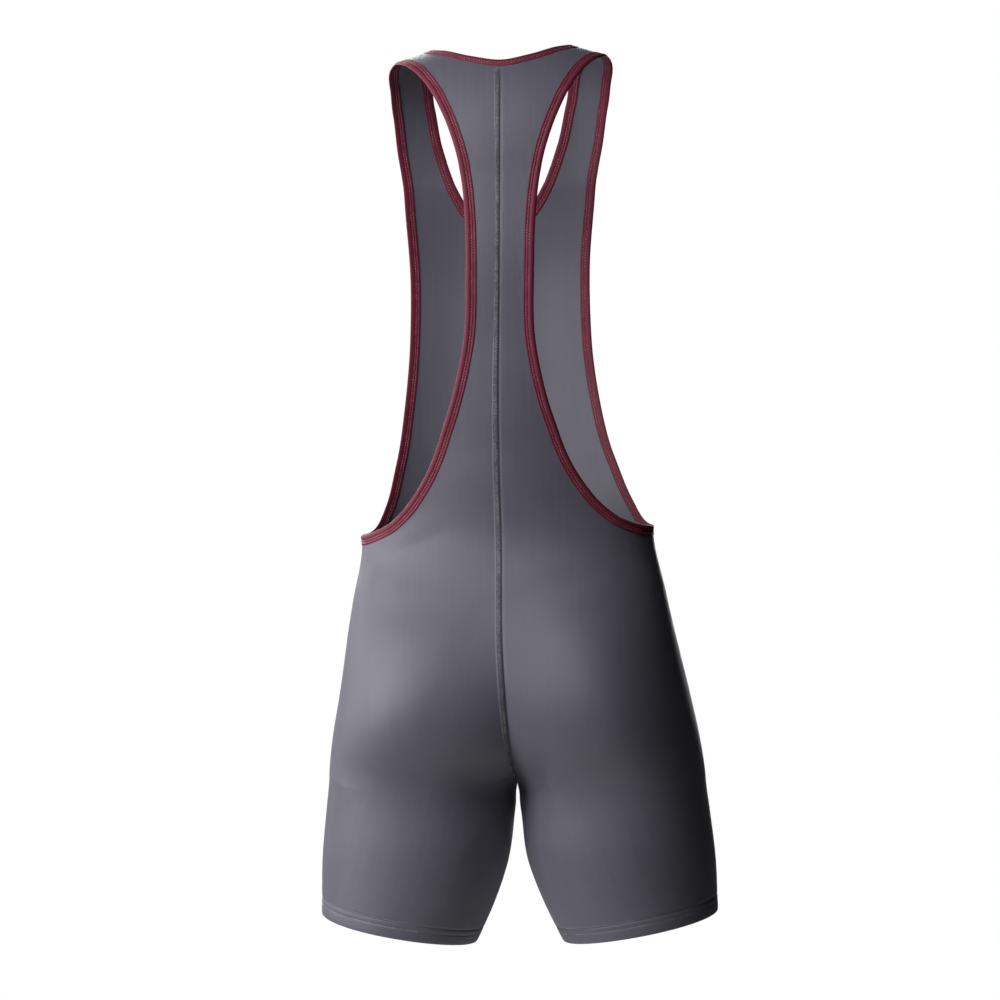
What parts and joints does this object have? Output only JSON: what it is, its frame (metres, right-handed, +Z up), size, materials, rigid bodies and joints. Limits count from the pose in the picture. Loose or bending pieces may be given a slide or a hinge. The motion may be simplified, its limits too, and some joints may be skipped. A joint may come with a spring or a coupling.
{
  "type": "athletics bodysuit",
  "caption": "Sleeveless one-piece athletics suit in worn form, with a narrow racer back, deep bound armholes, a scoop neck and thigh-length legs.",
  "frame": {"origin": "mount shoulders: midway between the two shoulder straps at the height of the shoulder line, where the wearer holds the garment up", "axes": "+Z up along the garment, front towards -Y, back towards +Y, the wearer's left towards +X"},
  "size_m": [0.3882, 0.2584, 0.8772],
  "materials": {
    "grey_knit": "smooth satin stretch knit, purplish mid grey",
    "maroon_binding": "matt folded knit binding, maroon, twin-needle stitched"
  },
  "bodies": {
    "root": {"back_left": "grey_knit", "back_right": "grey_knit", "front_left": "grey_knit", "front_right": "grey_knit", "leg_hem_left": "grey_knit", "leg_hem_right": "grey_knit", "neck_binding": "maroon_binding", "armhole_binding_left": "maroon_binding", "armhole_binding_right": "maroon_binding"}
  },
  "joints": []
}
